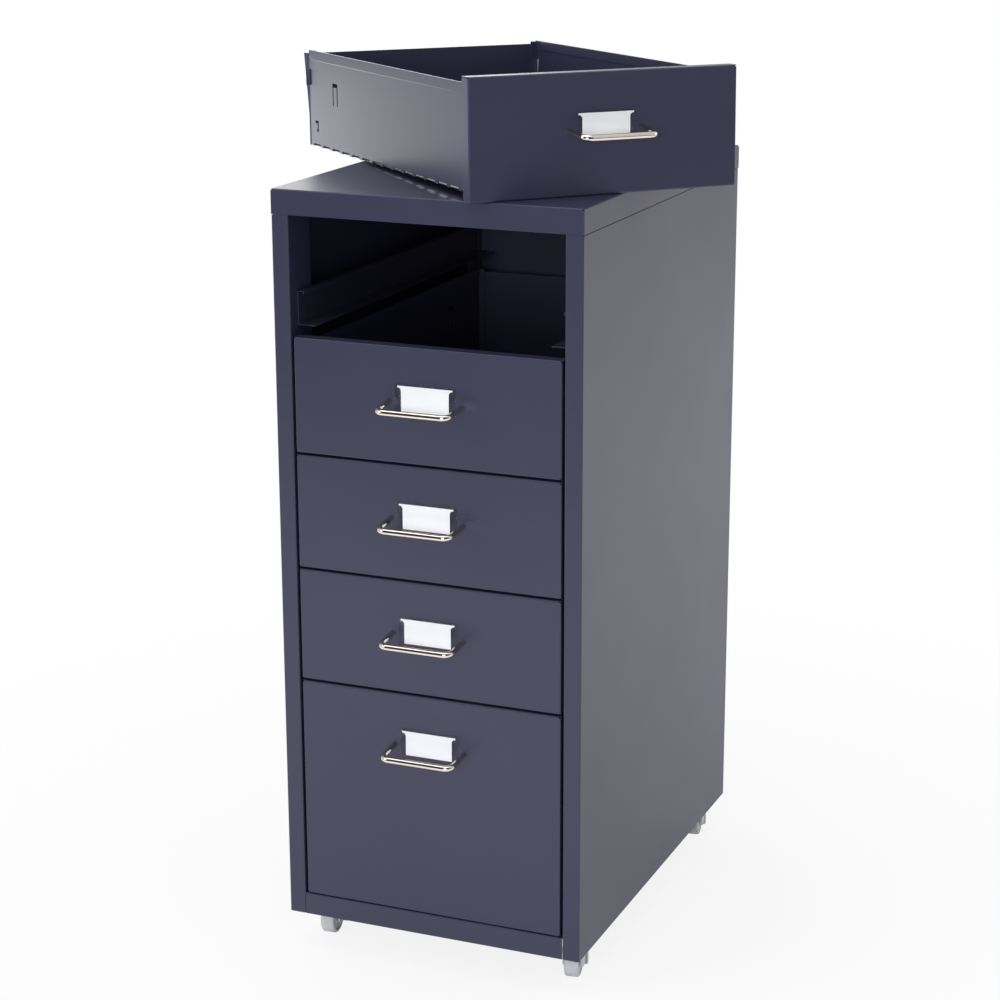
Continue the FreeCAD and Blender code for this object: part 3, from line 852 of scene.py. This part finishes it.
def add_lamp(name, spot, aim, size, power):
    """Large soft lamp at a spot, aimed at a point."""
    light = bpy.data.lights.new(name, "AREA")
    light.shape = "RECTANGLE"
    light.size, light.size_y = size
    light.energy = power
    lamp = bpy.data.objects.new(name, light)
    bpy.context.scene.collection.objects.link(lamp)
    lamp.visible_camera = False
    lamp.location = spot
    lamp.rotation_euler = (Vector(aim) - Vector(spot)).to_track_quat("-Z", "Y").to_euler()


make_floor()
make_surround()
add_lamp("lamp_above", spot=(-0.3, -0.6, 3.2), aim=(0, 0, 0.4), size=(2.4, 2.4), power=29)
add_lamp("lamp_front_left", spot=(-2.6, -2.4, 1.9), aim=(0, 0, 0.35), size=(1.8, 1.8), power=30)
add_lamp("lamp_front", spot=(0.3, -2.8, 1.0), aim=(0, 0, 0.5), size=(1.2, 0.8), power=18)
add_lamp("lamp_low_left", spot=(-0.74, 0.34, 0.58), aim=(-0.23, 0.05, 0.74), size=(0.2, 0.25),
         power=0.38)
add_lamp("lamp_back_left", spot=(-2.2, 2.6, 1.7), aim=(0, 0, 0.6), size=(2.4, 1.6), power=28)
add_lamp("lamp_back_right", spot=(2.6, 2.0, 1.5), aim=(0, 0, 0.4), size=(1.6, 1.6), power=14)


# The camera stands where the photograph was taken from, with its long lens and its small
# offset of the picture from the lens's axis.
view_place = (0.8284, -2.0128, 1.0010)
view_azimuth = math.radians(21.6224)
view_elevation = math.radians(15.9303)
view_roll = math.radians(0.1684)
sensor_width = 36
focal_pixels = 2452.67
picture_pixels = 1000
picture_centre = (550.03, 501.19)

camera = bpy.data.cameras.new("camera")
camera.sensor_width = sensor_width
camera.lens = sensor_width * focal_pixels / picture_pixels
camera.shift_x = (picture_pixels / 2 - picture_centre[0]) / picture_pixels
camera.shift_y = (picture_centre[1] - picture_pixels / 2) / picture_pixels
viewer = bpy.data.objects.new("camera", camera)
bpy.context.scene.collection.objects.link(viewer)
aim = Euler((math.pi / 2 - view_elevation, 0, view_azimuth)).to_matrix().to_4x4()
viewer.matrix_world = (Matrix.Translation(view_place) @ aim
                       @ Matrix.Rotation(view_roll, 4, "Z"))
bpy.context.scene.camera = viewer
bpy.context.scene.view_settings.view_transform = "Standard"

bpy.context.view_layer.update()
